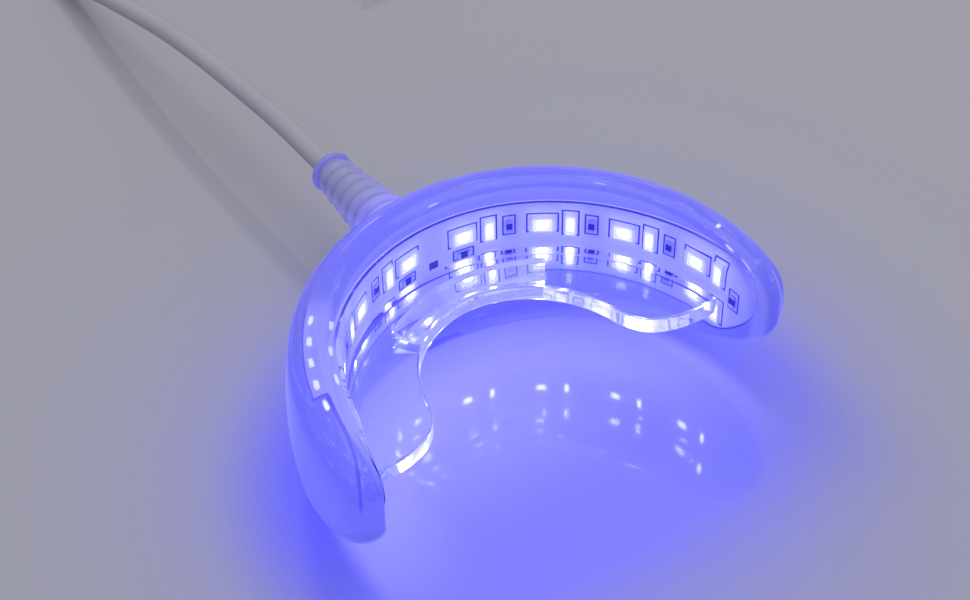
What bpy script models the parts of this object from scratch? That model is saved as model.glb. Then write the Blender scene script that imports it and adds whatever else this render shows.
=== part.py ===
"""LED teeth whitening light: a clear U-shaped mouthpiece with a lit flex circuit, on a USB cord.

The mouthpiece stands on its front rim, level, with the cord leaving forwards along +Y and the two
wings pointing back along -Y. Lengths are in metres, +Z is up, and the origin is under the middle of
the mouthpiece. Most pieces follow the arch, the curve in plan on which the LEDs stand: a place on it
is given by its distance along the arch from the middle of the front, its distance outwards from the
arch, and its height over the bite plane.
"""

import math

import bmesh
import bpy
import numpy as np
from mathutils import Matrix, Vector

# Arch, the line of the LEDs in plan: half an ellipse, then straight wings
arch_half_width = 0.0264
arch_depth = 0.0277
arch_samples = 600

# Outer shell, a thick silicone wall with round rims
shell_height_above = 0.0110
shell_height_below = 0.0138
shell_end_wall = 0.0014
shell_top_power = 4.0
shell_bottom_power = 1.85
shell_front_thickness = 0.0063
shell_wing_thickness = 0.0056
shell_end_round = 0.0036
shell_end_power = 2.2
shell_bulge = 0.0013
shell_foot_flat = 0.0005
shell_wire_hole_radius = 0.0017

# Liner, the inner face of the mouthpiece, set flush in the shell's pocket
inner_face = 0.0016
liner_thickness = 0.0009
liner_height_above = 0.0072
liner_height_below = 0.0046
liner_end_height = 0.0028
strip_end_margin = 0.0037
liner_end_round_above = 0.0031
liner_end_power_above = 2.2
liner_end_round_below = 0.0072
liner_end_power_below = 1.5
pocket_clearance = 0.0003
cut_overrun = 0.0030

# Bite plate, carried by the liner between the two rows of teeth
plate_thickness = 0.0025
plate_edge_round = 0.0004
plate_front_width = 0.0080
plate_lobe_width = 0.0111
plate_lobe_middle = 0.0300
plate_arch_reach = 0.0407
plate_widening_power = 1.5
plate_end_powers = (3.2, 2.6)
plate_root_depth = 0.0006

# Incisor ramps, one on each face of the plate, ending in a step beside each lobe
ramp_arch_reach = 0.0150
ramp_back = 0.0051
ramp_rise = 0.0012
ramp_toe_inset = 0.0003
ramp_toe_sink = 0.0002

# Flex circuit
flex_thickness = 0.00025
flex_front = 0.00050
flex_margin = 0.0002

# LEDs and resistors, in four groups a side: an LED lying, one upright and a resistor
group_count = 4
group_pitch = 0.0106
first_lying_led = 0.0043
upright_led_step = 0.0036
resistor_step = 0.0063
led_row_height = 0.0030
chip_raise = 0.0012
led_thickness = 0.0008
led_window_depth = 0.00015
led_solder_gap = 0.00015
led_frame = 0.0003
lying_led_size = (0.0035, 0.0024)
upright_led_size = (0.0016, 0.0034)
resistor_size = (0.0008, 0.0018)
resistor_thickness = 0.00045
resistor_cap_length = 0.0004
resistor_cap_raise = 0.00005
end_resistor_height = 0.0004
middle_resistor_place = 0.0044

# Strain relief, a ribbed sleeve moulded on the cord
relief_length = 0.0182
relief_root_sink = 0.0020
relief_seat_gap = 0.0003
relief_root_radius = 0.0062
relief_root_length = 0.0050
relief_base_radius = 0.0037
relief_tip_radius = 0.0024
relief_rib_count = 6
relief_rib_raise = 0.0003
relief_rib_width = 0.0005
relief_collar_radius = 0.0029
relief_collar_length = 0.0010
relief_bore_clearance = 0.0003
relief_steps = 32
relief_bore_steps = 16

# Cord, wires and plug
cord_diameter = 0.0028
wire_diameter = 0.0009
wire_spacing = 0.0013
wire_gap = 0.0003
coil_turn_radius = 0.0165
coil_loops = 7.5
coil_layers = 2
coil_layer_gap = 0.0006
coil_turn_gap = 0.0005
coil_lead = 0.0030
points_per_loop = 24
piece_gap = 0.0003
coil_exit_length = 0.0200
cord_seat_gap = 0.0006
cord_route = (
    (0.0000, 0.0160, 0.0133),
    (0.0000, 0.0255, 0.0133),
    (-0.0004, 0.0400, 0.0136),
    (-0.0013, 0.0640, 0.0118),
    (-0.0021, 0.0850, 0.0074),
    (-0.0026, 0.1000, 0.0031),
    (-0.0028, 0.1100, 0.00155),
    (-0.0028, 0.1340, 0.00142),
)
cord_point_step = 0.0065

plug_body_size = (0.0140, 0.0220, 0.0075)
plug_body_round = 0.0009
plug_neck_radius = 0.0024
plug_neck_base_radius = 0.0033
plug_neck_length = 0.0060
plug_shell_size = (0.0120, 0.0118, 0.0045)
plug_shell_wall = 0.0003
plug_shell_floor = 0.0004
plug_tongue_size = (0.0108, 0.0100, 0.0015)
plug_tongue_raise = 0.0008

# Counts and shares that set how finely the solids are drawn
bite_height = shell_height_below - shell_foot_flat
last_chip_place = first_lying_led + (group_count - 1) * group_pitch + resistor_step
liner_arch_reach = last_chip_place + strip_end_margin
shell_arch_reach = liner_arch_reach + shell_end_wall
plate_root = inner_face - plate_root_depth
base_name = "mouthpiece_base"
merge_limit = 0.00001
sharp_angle = 0.6
shell_stations = 57
shell_crowding = 1.35
shell_station_share = 0.9995
shell_rim_points = 7
shell_side_points = 3
shell_clear_stations = 9
strip_stations = 49
end_station_share = 0.9995
plate_stations = 49
plate_crowding = 1.5
ramp_stations = 13
relief_root_points = 4
rib_place_share = 0.5
coil_exit_points = 6
coil_exit_drop_share = 1.25
route_samples = 12
wire_points = 4


# Places along the arch

def arch_table():
    """Plan points and outward directions of the right half, with the distance along it to each."""
    turn = np.linspace(0.0, math.pi / 2, arch_samples)
    x = arch_half_width * np.sin(turn)
    y = arch_depth * (np.cos(turn) - 1)
    along = np.concatenate([[0.0], np.cumsum(np.hypot(np.diff(x), np.diff(y)))])
    heading = np.arctan2(arch_depth * np.sin(turn), arch_half_width * np.cos(turn))
    return x, y, along, heading


ARCH_X, ARCH_Y, ARCH_ALONG, ARCH_HEADING = arch_table()


def arch_place(along, outward=0.0, height=0.0):
    """The point at a distance along the arch, an offset outwards and a height over the bite plane."""
    reach = abs(along)
    x = float(np.interp(reach, ARCH_ALONG, ARCH_X))
    y = float(np.interp(reach, ARCH_ALONG, ARCH_Y)) - max(reach - ARCH_ALONG[-1], 0.0)
    heading = float(np.interp(reach, ARCH_ALONG, ARCH_HEADING))
    side = math.copysign(1.0, along)
    point = (
        side * (x + outward * math.sin(heading)),
        y + outward * math.cos(heading),
        bite_height + height,
    )
    return Vector(point)


def arch_turn(along):
    """Rotation about Z that lays a piece's X along the arch and its Y outwards."""
    heading = float(np.interp(abs(along), ARCH_ALONG, ARCH_HEADING))
    return -math.copysign(heading, along)


def crowded(reach, count, power=1.6):
    """Distances from -reach to +reach that crowd towards both ends."""
    steps = np.linspace(-1.0, 1.0, count)
    return [float(reach * math.copysign(1 - (1 - abs(step)) ** power, step)) for step in steps]


def rounded(share, power_in, power_out):
    """A superellipse's height at this share of its reach, from 1 down to 0."""
    return max(1 - min(abs(share), 1.0) ** power_in, 0.0) ** (1 / power_out)


# Scene helpers

def clear_scene():
    for obj in list(bpy.data.objects):
        bpy.data.objects.remove(obj, do_unlink=True)


def material(name, color, roughness, metallic=0.0, transmission=0.0, emission=0.0):
    made = bpy.data.materials.new(name)
    made.use_nodes = True
    shader = made.node_tree.nodes["Principled BSDF"]
    shader.inputs["Base Color"].default_value = (*color, 1.0)
    shader.inputs["Roughness"].default_value = roughness
    shader.inputs["Metallic"].default_value = metallic
    shader.inputs["Transmission Weight"].default_value = transmission
    shader.inputs["Emission Color"].default_value = (*color, 1.0)
    shader.inputs["Emission Strength"].default_value = emission
    made.diffuse_color = (*color, 1.0)
    return made


def add_object(name, data, group, finish=None):
    obj = bpy.data.objects.new(name, data)
    group.objects.link(obj)
    obj.parent = bpy.data.objects[base_name]
    if finish is not None and not data.materials:
        data.materials.append(finish)
    return obj


def add_mesh(name, bm, group, finish=None, smooth=True):
    bmesh.ops.recalc_face_normals(bm, faces=bm.faces)
    data = bpy.data.meshes.new(name)
    bm.to_mesh(data)
    bm.free()
    obj = add_object(name, data, group, finish)
    if smooth:
        data.shade_smooth()
        data.set_sharp_from_angle(angle=sharp_angle)
    return obj


def as_cutter(obj):
    obj.hide_render = True
    obj.display_type = "WIRE"
    return obj


def boolean(obj, operation, other):
    step = obj.modifiers.new(operation.title() + " " + other.name, "BOOLEAN")
    step.operation = operation
    step.object = other
    step.solver = "EXACT"


def loft(bm, rings):
    """Quads between rings of points, with a face over each end."""
    layers = [[bm.verts.new(point) for point in ring] for ring in rings]
    for low, high in zip(layers[:-1], layers[1:]):
        for i in range(len(low)):
            j = (i + 1) % len(low)
            bm.faces.new((low[i], low[j], high[j], high[i]))
    bm.faces.new(list(reversed(layers[0])))
    bm.faces.new(layers[-1])


def arch_loft(name, stations, section, group, finish=None):
    """A solid along the arch; section gives (outward, height) points round it at each station."""
    bm = bmesh.new()
    loft(bm, [[arch_place(s, *point) for point in section(s)] for s in stations])
    return add_mesh(name, bm, group, finish)


def tube(name, points, diameter, resolution, group, finish=None):
    data = bpy.data.curves.new(name, "CURVE")
    data.dimensions = "3D"
    data.twist_mode = "Z_UP"
    data.bevel_depth = diameter / 2
    data.bevel_resolution = resolution
    data.use_fill_caps = True
    spline = data.splines.new("POLY")
    spline.points.add(len(points) - 1)
    for slot, point in zip(spline.points, points):
        slot.co = (*point, 1.0)
    return add_object(name, data, group, finish)


def turned(name, profile, steps, group, finish=None):
    """A profile of (radius, place along the axis) turned about Z by a Screw modifier."""
    bm = bmesh.new()
    verts = [bm.verts.new((radius, 0.0, along)) for radius, along in profile]
    for first, second in zip(verts[:-1], verts[1:]):
        bm.edges.new((first, second))
    data = bpy.data.meshes.new(name)
    bm.to_mesh(data)
    bm.free()
    obj = add_object(name, data, group, finish)
    screw = obj.modifiers.new("Turn", "SCREW")
    screw.axis = "Z"
    screw.steps = steps
    screw.render_steps = steps
    screw.use_merge_vertices = True
    screw.merge_threshold = merge_limit
    screw.use_smooth_shade = True
    return obj


# Mouthpiece

def shell_thickness(s):
    into_wing = min(abs(s) / shell_arch_reach, 1.0)
    full = shell_front_thickness + (shell_wing_thickness - shell_front_thickness) * into_wing
    into_end = max(abs(s) - shell_arch_reach + shell_end_round, 0.0) / shell_end_round
    return full * rounded(into_end, shell_end_power, shell_end_power)


def shell_section(s, grow=0.0):
    """The wall's outline at a station: two round rims, a flat inner face and a bulged outer one."""
    share = s / shell_arch_reach
    above = shell_height_above * rounded(share, shell_top_power, shell_top_power) + grow
    below = shell_height_below * rounded(share, shell_bottom_power, shell_bottom_power) + grow
    half = shell_thickness(s) / 2 + grow
    middle = half - grow - inner_face
    rims = ((above, 0.0), (-below, math.pi))
    points = []
    for level, start in rims:
        radius = min(half, abs(level))
        centre = level - math.copysign(radius, level)
        for i in range(shell_rim_points):
            turn = start + math.pi * i / (shell_rim_points - 1)
            points.append((middle + half * math.cos(turn), centre + radius * math.sin(turn)))
        other = -below if level > 0 else above
        other_centre = other - math.copysign(min(half, abs(other)), other)
        side = math.cos(start + math.pi)
        for i in range(1, shell_side_points + 1):
            share = i / (shell_side_points + 1)
            points.append((middle + half * side, centre + (other_centre - centre) * share))
    foot = -shell_height_below - grow + shell_foot_flat
    belly = (above + below) / 2
    waist = (above - below) / 2
    shaped = []
    for outward, height in points:
        fullness = max(1 - ((height - waist) / belly) ** 2, 0.0)
        fullness *= shell_thickness(s) / shell_front_thickness
        if outward > middle:
            outward += shell_bulge * fullness * (outward - middle) / half
        shaped.append((outward, max(height, foot)))
    return shaped


def end_share(s, reach, end_round, power):
    """How far a rounded end has closed at this station, from 1 down to 0."""
    into_end = max(abs(s) - reach + end_round, 0.0) / end_round
    return rounded(into_end, power, power)


def band_section(grow, front, back):
    """A section function for the strip's outline, grown by a margin, between two outward offsets."""

    def section(s):
        reach = liner_arch_reach + grow
        upper_end = end_share(s, reach, liner_end_round_above + grow, liner_end_power_above)
        lower_end = end_share(s, reach, liner_end_round_below + grow, liner_end_power_below)
        top = liner_end_height + (liner_height_above - liner_end_height + grow) * upper_end
        bottom = liner_end_height - (liner_height_below + liner_end_height + grow) * lower_end
        return [(front, bottom), (back, bottom), (back, top), (front, top)]

    return section


def strip_band(name, grow, front, back, group, finish=None):
    reach = (liner_arch_reach + grow) * end_station_share
    return arch_loft(name, crowded(reach, strip_stations), band_section(grow, front, back), group, finish)


def pocket_floor():
    return flex_front + flex_thickness + pocket_clearance


def make_outer_shell(parts, cutters, finish):
    stations = crowded(shell_arch_reach * shell_station_share, shell_stations, shell_crowding)
    shell = arch_loft("outer_shell", stations, shell_section, parts, finish)
    pocket = strip_band(
        "pocket_cutter", pocket_clearance, -inner_face - cut_overrun, pocket_floor(), cutters
    )
    boolean(shell, "DIFFERENCE", as_cutter(pocket))
    bm = bmesh.new()
    reach = shell_front_thickness + cut_overrun
    bmesh.ops.create_cone(
        bm, cap_ends=True, segments=relief_bore_steps, radius1=shell_wire_hole_radius,
        radius2=shell_wire_hole_radius, depth=reach,
    )
    hole = add_mesh("wire_hole_cutter", bm, cutters)
    hole.rotation_euler = (math.pi / 2, 0.0, 0.0)
    hole.location = (0.0, reach / 2, bite_height)
    boolean(shell, "DIFFERENCE", as_cutter(hole))
    return shell


def plate_width(s):
    """How far the bite plate reaches inwards from the arch at a station."""
    lobe = plate_lobe_width - plate_front_width
    if abs(s) <= plate_lobe_middle:
        return plate_front_width + lobe * (abs(s) / plate_lobe_middle) ** plate_widening_power
    into_end = (abs(s) - plate_lobe_middle) / (plate_arch_reach - plate_lobe_middle)
    return max(plate_lobe_width * rounded(into_end, *plate_end_powers), plate_root)


def plate_rings():
    """Edge points of the plate and the same points drawn in by its edge rounding."""
    stations = crowded(plate_arch_reach, plate_stations, plate_crowding)
    edge = [arch_place(s, -plate_width(s)) for s in stations]
    root = [arch_place(s, -plate_root) for s in stations]
    inset = []
    for i, point in enumerate(edge):
        after = edge[min(i + 1, len(edge) - 1)]
        before = edge[max(i - 1, 0)]
        along = (after - before).normalized()
        inwards = Vector((-along.y, along.x, 0.0))
        inset.append(point + inwards * plate_edge_round)
    return edge, inset, root


def make_plate(cutters):
    """The flat plate with two lobes, from a chain of sections across it."""
    edge, inset, root = plate_rings()
    half = plate_thickness / 2
    side = half - plate_edge_round
    rings = []
    for edge_point, inset_point, root_point in zip(edge, inset, root):
        levels = (
            (root_point, -half), (inset_point, -half), (edge_point, -side),
            (edge_point, side), (inset_point, half), (root_point, half),
        )
        rings.append([point + Vector((0.0, 0.0, height)) for point, height in levels])
    bm = bmesh.new()
    loft(bm, rings[1:-1])
    return as_cutter(add_mesh("plate_blank", bm, cutters))


def make_ramp(cutters):
    """The two incisor ramps as one wedge through the plate."""
    top = plate_thickness / 2 + ramp_rise
    toe = plate_thickness / 2 - ramp_toe_sink

    def section(s):
        tip = plate_width(s) - ramp_toe_inset
        return [(-ramp_back, -top), (-ramp_back, top), (-tip, toe), (-tip, -toe)]

    stations = np.linspace(-ramp_arch_reach, ramp_arch_reach, ramp_stations)
    return as_cutter(arch_loft("ramp_blank", stations, section, cutters))


def make_bite_tray(parts, cutters, finish):
    tray = strip_band(
        "bite_tray", 0.0, -inner_face, -inner_face + liner_thickness, parts, finish
    )
    boolean(tray, "UNION", make_plate(cutters))
    boolean(tray, "UNION", make_ramp(cutters))
    return tray


# Circuit

def make_flex(parts, finish):
    return strip_band("flex_circuit", -flex_margin, flex_front, flex_front + flex_thickness, parts, finish)


def box(bm, size):
    """A box about the origin, given its sizes along X, Y and Z."""
    return bmesh.ops.create_cube(bm, size=1.0, matrix=Matrix.Diagonal((*size, 1.0)))


def led_mesh(name, size, finish):
    """An LED package with a cup sunk in its lit face, which looks along -Y."""
    length, height = size
    bm = bmesh.new()
    box(bm, (length, led_thickness, height))
    lit = min(bm.faces, key=lambda face: face.calc_center_median().y)
    bmesh.ops.inset_region(bm, faces=[lit], thickness=led_frame)
    for vert in lit.verts:
        vert.co.y += led_window_depth
    bmesh.ops.recalc_face_normals(bm, faces=bm.faces)
    data = bpy.data.meshes.new(name)
    bm.to_mesh(data)
    bm.free()
    data.materials.append(finish)
    return data


def resistor_mesh(name, finish):
    """A chip resistor standing on end along Z, its two end caps a little proud of its body."""
    width, length = resistor_size
    body = width / 2
    cap = body + resistor_cap_raise
    deep = resistor_thickness / 2
    deep_cap = deep + resistor_cap_raise
    end = length / 2
    neck = end - resistor_cap_length
    levels = (
        (-end, cap, deep_cap), (-neck, cap, deep_cap), (-neck, body, deep),
        (neck, body, deep), (neck, cap, deep_cap), (end, cap, deep_cap),
    )
    corners = ((-1, -1), (1, -1), (1, 1), (-1, 1))
    bm = bmesh.new()
    loft(bm, [[(x * wide, y * thick, z) for x, y in corners] for z, wide, thick in levels])
    bmesh.ops.recalc_face_normals(bm, faces=bm.faces)
    data = bpy.data.meshes.new(name)
    bm.to_mesh(data)
    bm.free()
    data.materials.append(finish)
    return data


def seat_on_flex(name, data, parts, s, height, thickness, lying=False):
    """Stands a chip on the flex circuit's inner face at a place along the arch."""
    obj = add_object(name, data, parts)
    outward = flex_front - led_solder_gap - thickness / 2
    obj.location = arch_place(s, outward, height + chip_raise)
    obj.rotation_euler = (0.0, math.pi / 2 if lying else 0.0, arch_turn(s))
    return obj


def make_chips(parts, led_finish, resistor_finish):
    lying = led_mesh("led_lying", lying_led_size, led_finish)
    upright = led_mesh("led_upright", upright_led_size, led_finish)
    resistor = resistor_mesh("chip_resistor", resistor_finish)
    resistor_deep = resistor_thickness + 2 * resistor_cap_raise
    led = 0
    chip = 0
    for side in (-1, 1):
        for group in range(group_count):
            start = first_lying_led + group * group_pitch
            for row in (led_row_height, -led_row_height):
                for data, step in ((lying, 0.0), (upright, upright_led_step)):
                    led += 1
                    s = side * (start + step)
                    seat_on_flex(f"led_{led:02d}", data, parts, s, row, led_thickness)
            heights = (led_row_height, -led_row_height)
            if group == group_count - 1:
                heights = (end_resistor_height,)
            for height in heights:
                chip += 1
                s = side * (start + resistor_step)
                seat_on_flex(f"resistor_{chip:02d}", resistor, parts, s, height, resistor_deep)
        chip += 1
        s = side * middle_resistor_place
        seat_on_flex(f"resistor_{chip:02d}", resistor, parts, s, 0.0, resistor_deep, lying=True)


# Cord

def front_face():
    """How far the shell's outer face stands in front of the arch, at the height of the cord."""
    return max(outward for outward, height in shell_section(0.0))


def make_strain_relief(parts, cutters, finish):
    start = front_face() - relief_root_sink
    root_end = front_face() + relief_root_length
    end = front_face() + relief_seat_gap + relief_length
    bore = cord_diameter / 2 + relief_bore_clearance
    outline = [(relief_root_radius, start)]
    for i in range(relief_root_points + 1):
        share = i / relief_root_points
        flare = (1 - math.sin(share * math.pi / 2)) * (relief_root_radius - relief_base_radius)
        outline.append((relief_base_radius + flare, front_face() + share * relief_root_length))
    rib_room = end - relief_collar_length - root_end
    pitch = rib_room / relief_rib_count
    for i in range(relief_rib_count):
        share = (i + 1) / relief_rib_count
        sleeve = relief_base_radius + (relief_tip_radius - relief_base_radius) * share
        middle = root_end + pitch * (i + rib_place_share)
        half = relief_rib_width / 2
        outline.append((sleeve, middle - half))
        outline.append((sleeve + relief_rib_raise, middle - half / 2))
        outline.append((sleeve + relief_rib_raise, middle + half / 2))
        outline.append((sleeve, middle + half))
    edge = relief_collar_length / 4
    outline.append((relief_tip_radius, end - relief_collar_length))
    outline.append((relief_collar_radius, end - relief_collar_length + edge))
    outline.append((relief_collar_radius, end - edge))
    outline.append((relief_tip_radius + relief_rib_raise, end))
    outline.append((bore, end))
    outline.append((bore, start))
    outline.append(outline[0])
    profile = [(radius, along) for radius, along in reversed(outline)]
    relief = turned("strain_relief", profile, relief_steps, parts, finish)
    relief.rotation_euler = (-math.pi / 2, 0.0, 0.0)
    relief.location = (0.0, 0.0, bite_height)
    stations = crowded(relief_root_radius * 2, shell_clear_stations, 1.0)
    clear = arch_loft(
        "shell_clearance_cutter", stations, lambda s: shell_section(s, relief_seat_gap), cutters
    )
    boolean(relief, "DIFFERENCE", as_cutter(clear))
    return relief


def smooth_route(points, step):
    """Points at even steps along a smooth curve through the route's own points."""
    fine = []
    ends = [points[0]] + list(points) + [points[-1]]
    for i in range(1, len(ends) - 2):
        before, start, stop, after = (Vector(ends[i + k]) for k in (-1, 0, 1, 2))
        for k in range(route_samples):
            t = k / route_samples
            fine.append(
                0.5 * (
                    2 * start + (stop - before) * t
                    + (2 * before - 5 * start + 4 * stop - after) * t ** 2
                    + (3 * start - before - 3 * stop + after) * t ** 3
                )
            )
    fine.append(Vector(ends[-1]))
    path = np.array(fine)
    along = np.concatenate([[0.0], np.cumsum(np.linalg.norm(np.diff(path, axis=0), axis=1))])
    count = max(int(round(along[-1] / step)), 2)
    places = np.linspace(0.0, along[-1], count + 1)
    return [Vector([np.interp(place, along, path[:, axis]) for axis in range(3)]) for place in places]


def cord_points():
    start = Vector((0.0, front_face() + cord_seat_gap, bite_height))
    return smooth_route([start] + [Vector(point) for point in cord_route], cord_point_step)


def smooth_step(share):
    share = min(max(share, 0.0), 1.0)
    return share * share * (3 - 2 * share)


def coil_points(start):
    """Loops that spiral in on the lower layer, climb where the spiral turns, and spiral out again."""
    pitch = cord_diameter + coil_turn_gap
    climb = cord_diameter + coil_layer_gap
    half_loops = coil_loops / coil_layers
    outer = coil_turn_radius + pitch * half_loops / 2
    centre = start + Vector((outer, coil_lead, 0.0))
    points = [start + Vector((0.0, share * coil_lead, 0.0)) for share in (0.0, 1 / 2)]
    count = int(round(coil_loops * points_per_loop))
    for i in range(count + 1):
        loops = i / points_per_loop
        radius = outer - pitch * (half_loops - abs(half_loops - loops))
        raised = climb * smooth_step((loops - half_loops) * 2 + 1 / 2)
        turn = 2 * math.pi * loops
        points.append(centre + Vector((-radius * math.cos(turn), radius * math.sin(turn), raised)))
    turn = 2 * math.pi * coil_loops
    heading = Vector((math.sin(turn), math.cos(turn), 0.0)).normalized()
    last = points[-1]
    drop = last.z - plug_body_size[2] / 2
    for i in range(1, coil_exit_points + 1):
        share = i / coil_exit_points
        down = drop * smooth_step(share * coil_exit_drop_share)
        points.append(last + heading * coil_exit_length * share - Vector((0.0, 0.0, down)))
    return points, heading


def least_gap(points, diameter):
    """The least distance between stretches of a tube that aren't neighbours, less its diameter."""
    places = np.array(points)
    near = max(int(points_per_loop / 2), 1)
    least = math.inf
    for i in range(len(places) - near):
        apart = np.linalg.norm(places[i + near:] - places[i], axis=1).min()
        least = min(least, float(apart))
    return least - diameter


def make_cord(parts, finish):
    run = cord_points()
    tube("cable_run", run, cord_diameter, 2, parts, finish)
    coil_start = run[-1] + Vector((0.0, piece_gap, 0.0))
    loops, heading = coil_points(coil_start)
    tube("cable_coil", loops, cord_diameter, 1, parts, finish)
    print(f"cable coil, least gap to itself: {least_gap(loops, cord_diameter):.5f} m")
    lengths = [sum((b - a).length for a, b in zip(path[:-1], path[1:])) for path in (run, loops)]
    print(f"cord length: {sum(lengths):.4f} m")
    return loops[-1] + heading * piece_gap, heading


def make_wires(parts, red, black):
    start = flex_front + flex_thickness + wire_gap / 2
    end = front_face() + cord_seat_gap - wire_gap
    for name, side, finish in (("wire_positive", 1, red), ("wire_negative", -1, black)):
        x = side * wire_spacing / 2
        points = [Vector((x, start + (end - start) * i / wire_points, bite_height))
                  for i in range(wire_points + 1)]
        tube(name, points, wire_diameter, 1, parts, finish)


# Plug, built along +Y from the end of the cord

def place_plug_piece(obj, start, heading, along):
    obj.location = start + heading * along
    obj.rotation_euler = (0.0, 0.0, math.atan2(heading.y, heading.x) - math.pi / 2)
    return obj


def rounded_box(name, size, radius, group, finish):
    width, length, height = size
    bm = bmesh.new()
    box(bm, (width, length, height))
    for vert in bm.verts:
        vert.co.y += length / 2
    obj = add_mesh(name, bm, group, finish)
    bevel = obj.modifiers.new("Round", "BEVEL")
    bevel.width = radius
    bevel.segments = 3
    bevel.limit_method = "ANGLE"
    return obj


def make_plug(parts, cutters, start, heading, body_finish, shell_finish, tongue_finish):
    body = rounded_box("plug_body", plug_body_size, plug_body_round, parts, body_finish)
    place_plug_piece(body, start, heading, plug_neck_length)
    bm = bmesh.new()
    bmesh.ops.create_cone(
        bm, cap_ends=True, segments=relief_bore_steps, radius1=plug_neck_radius,
        radius2=plug_neck_base_radius, depth=plug_neck_length + plug_body_round,
    )
    bmesh.ops.rotate(bm, verts=bm.verts, matrix=Matrix.Rotation(-math.pi / 2, 3, "X"))
    bmesh.ops.translate(bm, verts=bm.verts, vec=(0.0, (plug_neck_length + plug_body_round) / 2, 0.0))
    neck = as_cutter(place_plug_piece(add_mesh("plug_neck_blank", bm, cutters), start, heading, 0.0))
    boolean(body, "UNION", neck)

    face = plug_neck_length + plug_body_size[1] + piece_gap
    bm = bmesh.new()
    box(bm, plug_shell_size)
    front = max(bm.faces, key=lambda side: side.calc_center_median().y)
    bmesh.ops.inset_region(bm, faces=[front], thickness=plug_shell_wall)
    depth = plug_shell_size[1] - plug_shell_floor
    sunk = bmesh.ops.extrude_discrete_faces(bm, faces=[front])
    bmesh.ops.translate(bm, verts=sunk["faces"][0].verts, vec=(0.0, -depth, 0.0))
    bmesh.ops.translate(bm, verts=bm.verts, vec=(0.0, plug_shell_size[1] / 2, 0.0))
    shell = add_mesh("plug_shell", bm, parts, shell_finish, smooth=False)
    place_plug_piece(shell, start, heading, face)

    bm = bmesh.new()
    box(bm, plug_tongue_size)
    bmesh.ops.translate(bm, verts=bm.verts, vec=(0.0, plug_tongue_size[1] / 2, plug_tongue_raise))
    tongue = add_mesh("plug_tongue", bm, parts, tongue_finish, smooth=False)
    place_plug_piece(tongue, start, heading, face + plug_shell_floor + piece_gap)


def main():
    clear_scene()
    parts = bpy.data.collections.new("led_teeth_whitening_light")
    cutters = bpy.data.collections.new("cutters")
    bpy.context.scene.collection.children.link(parts)
    bpy.context.scene.collection.children.link(cutters)
    base = bpy.data.objects.new(base_name, None)
    parts.objects.link(base)
    back = arch_depth + shell_arch_reach - ARCH_ALONG[-1]
    front = front_face() + relief_seat_gap + relief_length
    base.location = (0.0, (back - front) / 2, 0.0)

    silicone = material("clear_silicone", (0.62, 0.64, 0.98), 0.12, transmission=0.9)
    liner = material("clear_liner", (0.66, 0.68, 1.0), 0.10, transmission=0.9)
    white_film = material("white_circuit_film", (0.80, 0.80, 0.92), 0.45)
    led = material("led_package", (0.85, 0.88, 1.0), 0.30, emission=4.0)
    resistor = material("chip_resistor", (0.03, 0.03, 0.10), 0.35)
    jacket = material("cord_jacket", (0.62, 0.61, 0.66), 0.40)
    relief = material("relief_silicone", (0.60, 0.60, 0.80), 0.20, transmission=0.7)
    red = material("wire_red", (0.55, 0.03, 0.03), 0.40)
    black = material("wire_black", (0.02, 0.02, 0.02), 0.40)
    plug_white = material("plug_plastic", (0.75, 0.75, 0.78), 0.40)
    steel = material("plug_steel", (0.75, 0.75, 0.76), 0.25, metallic=1.0)
    tongue = material("plug_insulator", (0.85, 0.85, 0.85), 0.45)

    make_outer_shell(parts, cutters, silicone)
    make_bite_tray(parts, cutters, liner)
    make_flex(parts, white_film)
    make_chips(parts, led, resistor)
    make_strain_relief(parts, cutters, relief)
    make_wires(parts, red, black)
    start, heading = make_cord(parts, jacket)
    make_plug(parts, cutters, start, heading, plug_white, steel, tongue)


main()
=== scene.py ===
"""Looks of the LED teeth whitening light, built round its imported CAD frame.

Lengths are in metres and +Z is up, as in the frame. The mouthpiece stands on its front rim, and most
pieces follow the arch, the curve in plan on which the LEDs stand: a place on it is given by its
distance along the arch from the middle of the front, its distance outwards and its height over the
bite plane.
"""

import math

import bmesh
import bpy
import numpy as np
from mathutils import Matrix, Vector


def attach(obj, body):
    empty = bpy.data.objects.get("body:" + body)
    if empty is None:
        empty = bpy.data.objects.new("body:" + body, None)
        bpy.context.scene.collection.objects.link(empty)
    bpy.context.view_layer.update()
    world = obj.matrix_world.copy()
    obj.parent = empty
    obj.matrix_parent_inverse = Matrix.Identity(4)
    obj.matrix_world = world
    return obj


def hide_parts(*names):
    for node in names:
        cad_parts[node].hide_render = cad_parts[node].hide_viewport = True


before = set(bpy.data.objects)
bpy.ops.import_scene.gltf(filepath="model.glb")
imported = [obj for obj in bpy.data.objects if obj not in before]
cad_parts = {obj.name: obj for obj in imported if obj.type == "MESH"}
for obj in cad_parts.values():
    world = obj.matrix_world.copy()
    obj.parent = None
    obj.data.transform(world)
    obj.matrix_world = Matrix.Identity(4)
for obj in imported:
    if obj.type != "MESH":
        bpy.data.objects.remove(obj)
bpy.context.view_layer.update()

# Arch
arch_half_width = 0.0264
arch_depth = 0.0277
arch_samples = 1200

# Wall of the mouthpiece
bite_height = 0.0133
wall_above = 0.0110
wall_below = 0.0138
wall_foot_flat = 0.0005
wall_reach = 0.0475
wall_top_power = 4.0
wall_bottom_power = 1.85
wall_front_thickness = 0.0063
wall_wing_thickness = 0.0056
wall_end_round = 0.0036
wall_end_power = 2.2
wall_bulge = 0.0013
inner_face = 0.0016
wing_thinning = (0.0019, 0.0007)
wing_thinning_start = 0.0360
wall_front_radius = 0.0314

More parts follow.
